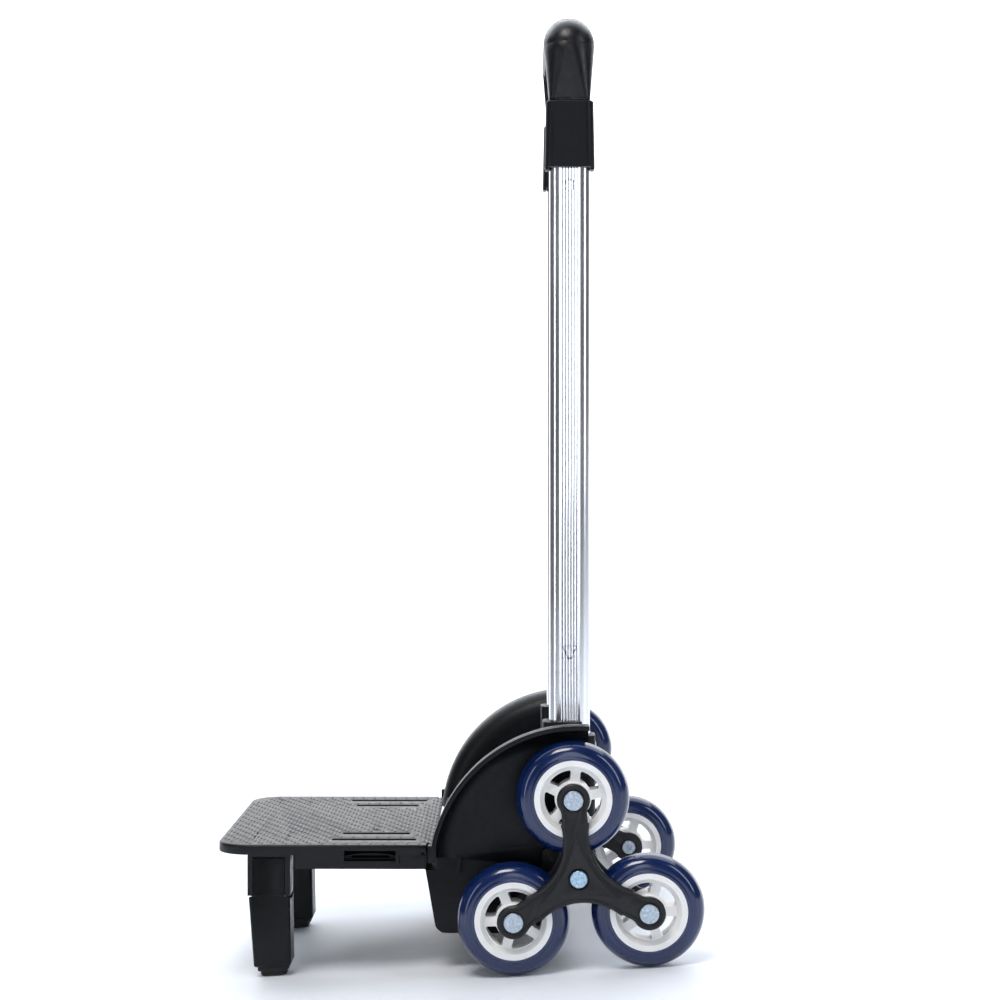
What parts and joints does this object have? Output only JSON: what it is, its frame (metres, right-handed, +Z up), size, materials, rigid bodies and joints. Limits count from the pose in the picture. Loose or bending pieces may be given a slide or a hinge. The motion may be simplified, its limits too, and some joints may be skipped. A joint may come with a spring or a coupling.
{
  "type": "shopping trolley",
  "caption": "Stair-climbing shopping trolley: folding load platform with strap slots, telescopic twin-tube mast with an arched grip, and a rotating three-wheel cluster at each end of the axle.",
  "frame": {"origin": "centre of the footprint on the ground", "axes": "+Z up, platform towards -Y, handle towards +Y, +X to the user's left, along the axle"},
  "size_m": [0.2964, 0.346, 0.6984],
  "materials": {
    "tyre_blue": "glossy cast polyurethane",
    "hub_white": "semi-matt moulded nylon",
    "bearing_steel": "polished",
    "zinc_steel": "bright zinc plated",
    "cap_zinc": "blue-passivated zinc",
    "cluster_black": "fine-grained glass-filled nylon",
    "body_black": "fine-grained moulded polypropylene",
    "platform_black": "moulded polypropylene with an embossed top",
    "grip_black": "satin-gloss moulded ABS",
    "tube_aluminium": "bright anodised extrusion",
    "lock_nylon": "natural nylon",
    "foot_rubber": "matt"
  },
  "bodies": {
    "chassis": {"chassis": "body_black", "wheel_guard_left": "body_black", "wheel_guard_right": "body_black", "guard_screws": "zinc_steel", "mast_bracket": "body_black", "bracket_screws": "zinc_steel", "axle": "zinc_steel", "axle_caps": "cap_zinc", "mast_tube_left": "tube_aluminium", "mast_tube_right": "tube_aluminium", "mast_collar": "body_black", "platform_hinge_pin": "zinc_steel"},
    "platform": {"platform": "platform_black", "strap_bars": "platform_black", "leg_pins": "zinc_steel"},
    "handle": {"handle_grip": "grip_black", "button_spring": "zinc_steel", "inner_tube_left": "tube_aluminium", "inner_tube_right": "tube_aluminium", "lock_housing_left": "lock_nylon", "lock_housing_right": "lock_nylon"},
    "release": {"release_button": "grip_black", "release_yoke": "zinc_steel"},
    "leg_left": {"leg_left": "platform_black", "foot_left": "foot_rubber"},
    "lock_pin_left": {"lock_pin_left": "zinc_steel"},
    "cluster_left": {"cluster_inner_plate_left": "cluster_black", "cluster_outer_plate_left": "cluster_black", "cluster_bush_left": "cluster_black", "wheel_axles_left": "zinc_steel", "wheel_axle_screws_left": "zinc_steel"},
    "wheel_left_top": {"tyre_left_top": "tyre_blue", "wheel_hub_left_top": "hub_white", "wheel_bearings_left_top": "bearing_steel"},
    "wheel_left_front": {"tyre_left_front": "tyre_blue", "wheel_hub_left_front": "hub_white", "wheel_bearings_left_front": "bearing_steel"},
    "wheel_left_rear": {"tyre_left_rear": "tyre_blue", "wheel_hub_left_rear": "hub_white", "wheel_bearings_left_rear": "bearing_steel"},
    "leg_right": {"leg_right": "platform_black", "foot_right": "foot_rubber"},
    "lock_pin_right": {"lock_pin_right": "zinc_steel"},
    "cluster_right": {"cluster_inner_plate_right": "cluster_black", "cluster_outer_plate_right": "cluster_black", "cluster_bush_right": "cluster_black", "wheel_axles_right": "zinc_steel", "wheel_axle_screws_right": "zinc_steel"},
    "wheel_right_top": {"tyre_right_top": "tyre_blue", "wheel_hub_right_top": "hub_white", "wheel_bearings_right_top": "bearing_steel"},
    "wheel_right_front": {"tyre_right_front": "tyre_blue", "wheel_hub_right_front": "hub_white", "wheel_bearings_right_front": "bearing_steel"},
    "wheel_right_rear": {"tyre_right_rear": "tyre_blue", "wheel_hub_right_rear": "hub_white", "wheel_bearings_right_rear": "bearing_steel"}
  },
  "joints": [
    {"name": "platform_fold", "type": "hinge", "parent": "chassis", "child": "platform", "pos_m": [0, -0.02427, 0.08596], "axis": [-1, 0, 0], "range_deg": [0, 90]},
    {"name": "handle_slide", "type": "slide", "parent": "chassis", "child": "handle", "axis": [0, 0.0677, 0.9977], "range_m": [0, 0.3267]},
    {"name": "button_press", "type": "slide", "parent": "handle", "child": "release", "axis": [0, -0.0677, -0.9977], "range_m": [0, 0.004], "stiffness_N_per_m": 800, "springref_m": -0.004, "deforming": ["button_spring"]},
    {"name": "leg_left_fold", "type": "hinge", "parent": "platform", "child": "leg_left", "pos_m": [0.08, -0.13793, 0.07863], "axis": [0, 0.9977, -0.0677], "range_deg": [0, 90]},
    {"name": "lock_pin_left_slide", "type": "slide", "parent": "handle", "child": "lock_pin_left", "axis": [-1, 0, 0], "range_m": [0, 0.0028]},
    {"name": "cluster_left_spin", "type": "hinge", "parent": "chassis", "child": "cluster_left", "pos_m": [0.13, 0.08533, 0.0675], "axis": [1, 0, 0], "continuous": true},
    {"name": "wheel_left_top_spin", "type": "hinge", "parent": "cluster_left", "child": "wheel_left_top", "pos_m": [0.13, 0.08533, 0.1225], "axis": [1, 0, 0], "continuous": true},
    {"name": "wheel_left_front_spin", "type": "hinge", "parent": "cluster_left", "child": "wheel_left_front", "pos_m": [0.13, 0.0377, 0.04], "axis": [1, 0, 0], "continuous": true},
    {"name": "wheel_left_rear_spin", "type": "hinge", "parent": "cluster_left", "child": "wheel_left_rear", "pos_m": [0.13, 0.13296, 0.04], "axis": [1, 0, 0], "continuous": true},
    {"name": "leg_right_fold", "type": "hinge", "parent": "platform", "child": "leg_right", "pos_m": [-0.08, -0.13793, 0.07863], "axis": [0, -0.9977, 0.0677], "range_deg": [0, 90]},
    {"name": "lock_pin_right_slide", "type": "slide", "parent": "handle", "child": "lock_pin_right", "axis": [1, 0, 0], "range_m": [0, 0.0028]},
    {"name": "cluster_right_spin", "type": "hinge", "parent": "chassis", "child": "cluster_right", "pos_m": [-0.13, 0.08533, 0.0675], "axis": [1, 0, 0], "continuous": true},
    {"name": "wheel_right_top_spin", "type": "hinge", "parent": "cluster_right", "child": "wheel_right_top", "pos_m": [-0.13, 0.08533, 0.1225], "axis": [1, 0, 0], "continuous": true},
    {"name": "wheel_right_front_spin", "type": "hinge", "parent": "cluster_right", "child": "wheel_right_front", "pos_m": [-0.13, 0.0377, 0.04], "axis": [1, 0, 0], "continuous": true},
    {"name": "wheel_right_rear_spin", "type": "hinge", "parent": "cluster_right", "child": "wheel_right_rear", "pos_m": [-0.13, 0.13296, 0.04], "axis": [1, 0, 0], "continuous": true}
  ]
}
